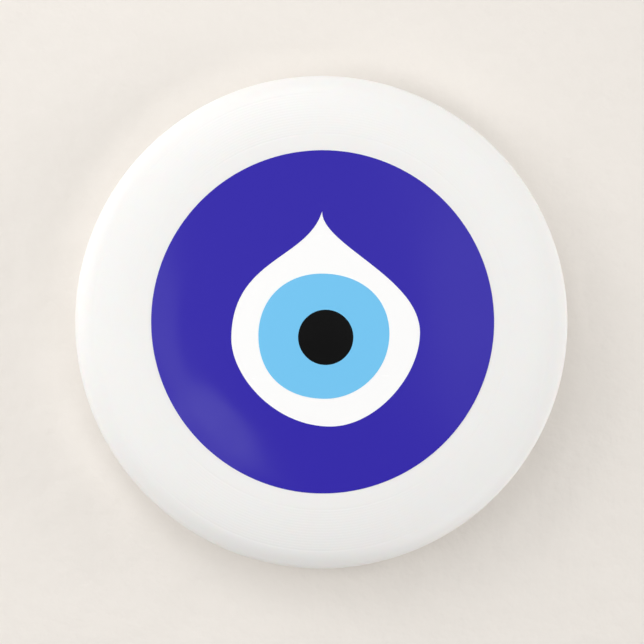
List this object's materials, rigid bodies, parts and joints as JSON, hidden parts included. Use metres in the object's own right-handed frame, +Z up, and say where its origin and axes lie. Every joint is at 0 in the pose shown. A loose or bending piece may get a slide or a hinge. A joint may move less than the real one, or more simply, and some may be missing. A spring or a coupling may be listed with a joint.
{
  "type": "flying disc",
  "caption": "Round white plastic flying disc with a ringed shoulder and a deep rim, printed with a blue evil eye, for throwing and catching.",
  "frame": {"origin": "on the ground at the centre of the disc, which rests on its rim with the print up", "axes": "+Z up along the axis of revolution of the moulding, +Y towards the tip of the drop in the print, +X to the right of someone who sees the drop's tip at the top"},
  "size_m": [0.235, 0.235, 0.0282],
  "materials": {
    "moulding_white": "satin",
    "ink_white": "satin",
    "ink_blue": "satin",
    "ink_light_blue": "satin",
    "ink_black": "satin"
  },
  "bodies": {
    "root": {"disc_moulding": "moulding_white", "print_white_base": "ink_white", "print_blue_field": "ink_blue", "print_light_blue_iris": "ink_light_blue", "print_black_pupil": "ink_black"}
  },
  "joints": []
}
